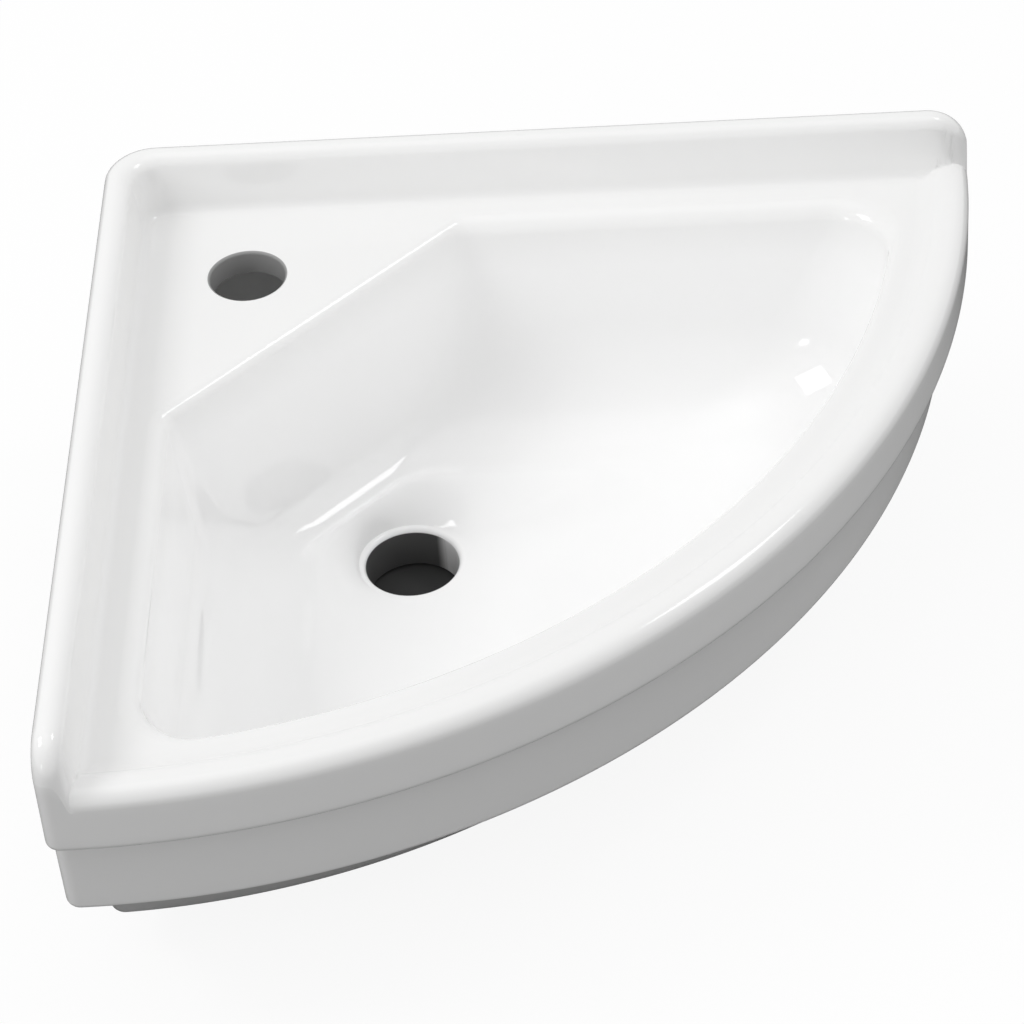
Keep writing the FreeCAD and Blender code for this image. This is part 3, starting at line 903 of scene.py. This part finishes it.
def makeWorld():
    # A dome that darkens upwards but for a round patch straight above, and is brighter to
    # left and right, and to front left and back right. Plain white to the camera.
    world = bpy.data.worlds.new("studio")
    bpy.context.scene.world = world
    world.use_nodes = True
    tree = world.node_tree
    tree.nodes.clear()
    where = tree.nodes.new("ShaderNodeTexCoord")
    parts = tree.nodes.new("ShaderNodeSeparateXYZ")
    tree.links.new(where.outputs["Generated"], parts.inputs[0])
    rise = tree.nodes.new("ShaderNodeMapRange")
    rise.inputs["To Min"].default_value = studio["horizon"]
    rise.inputs["To Max"].default_value = studio["zenith"]
    tree.links.new(parts.outputs["Z"], rise.inputs["Value"])
    quarter = mathOf(tree, "MULTIPLY", parts.outputs["Y"], studio["quarters"])
    side = mathOf(tree, "MULTIPLY_ADD", parts.outputs["X"], studio["sides"], quarter)
    lit = mathOf(tree, "MULTIPLY_ADD", parts.outputs["X"], side, rise.outputs["Result"])
    patch = share(tree.nodes, tree.links, parts.outputs["Z"], *studio["overheadEdge"])
    lit = mathOf(tree, "MULTIPLY_ADD", patch, studio["overhead"], lit)
    dome = tree.nodes.new("ShaderNodeBackground")
    tree.links.new(lit, dome.inputs["Color"])
    white = tree.nodes.new("ShaderNodeBackground")
    white.inputs["Color"].default_value = (1, 1, 1, 1)
    path = tree.nodes.new("ShaderNodeLightPath")
    mix = mixShaders(tree, path.outputs["Is Camera Ray"], dome, white)
    out = tree.nodes.new("ShaderNodeOutputWorld")
    tree.links.new(mix.outputs[0], out.inputs["Surface"])


lamps = [
    {"name": "leftSoftbox", "place": (-1.27, -0.17, 1.53), "size": (0.65, 0.65), "watts": 8.0},
    {"name": "rightSoftbox", "place": (1.06, 0.25, 1.66), "size": (0.5, 0.42), "watts": 3.6},
    {"name": "frontSoftbox", "place": (-1.09, -1.52, 0.70), "size": (0.3, 0.3), "watts": 1.4},
]

aim = (0.04, -0.04, 0.12)


def makeLamp(facts):
    light = bpy.data.lights.new(facts["name"], "AREA")
    light.shape = "RECTANGLE"
    light.size, light.size_y = facts["size"]
    light.energy = facts["watts"]
    lamp = bpy.data.objects.new(facts["name"], light)
    lamp.location = facts["place"]
    towards = Vector(aim) - Vector(facts["place"])
    lamp.rotation_euler = towards.to_track_quat("-Z", "Y").to_euler()
    bpy.context.scene.collection.objects.link(lamp)


view = {
    "place": (0.127308, -1.337244, 1.257572),
    "yaw": -0.058668,
    "pitch": 0.733566,
    "roll": -0.083417,
    "lens": 136.382,
    "sensorWidth": 36,
}


def makeCamera():
    # Looks along yaw and pitch (down), then turns about that axis by roll.
    yaw, pitch, roll = view["yaw"], view["pitch"], view["roll"]
    level = math.cos(pitch)
    ahead = Vector((math.sin(yaw) * level, math.cos(yaw) * level, -math.sin(pitch)))
    right = Vector((math.cos(yaw), -math.sin(yaw), 0))
    up = right.cross(ahead)
    rolledRight = right * math.cos(roll) + up * math.sin(roll)
    rolledUp = up * math.cos(roll) - right * math.sin(roll)
    data = bpy.data.cameras.new("camera")
    data.lens = view["lens"]
    data.sensor_width = view["sensorWidth"]
    camera = bpy.data.objects.new("camera", data)
    turned = Matrix((rolledRight, rolledUp, -ahead)).transposed().to_4x4()
    camera.matrix_world = Matrix.Translation(view["place"]) @ turned
    bpy.context.scene.collection.objects.link(camera)
    bpy.context.scene.camera = camera


makeFloor()
makeWorld()
for facts in lamps:
    makeLamp(facts)
makeCamera()
bpy.context.scene.view_settings.view_transform = "Standard"
print("stage: studio")
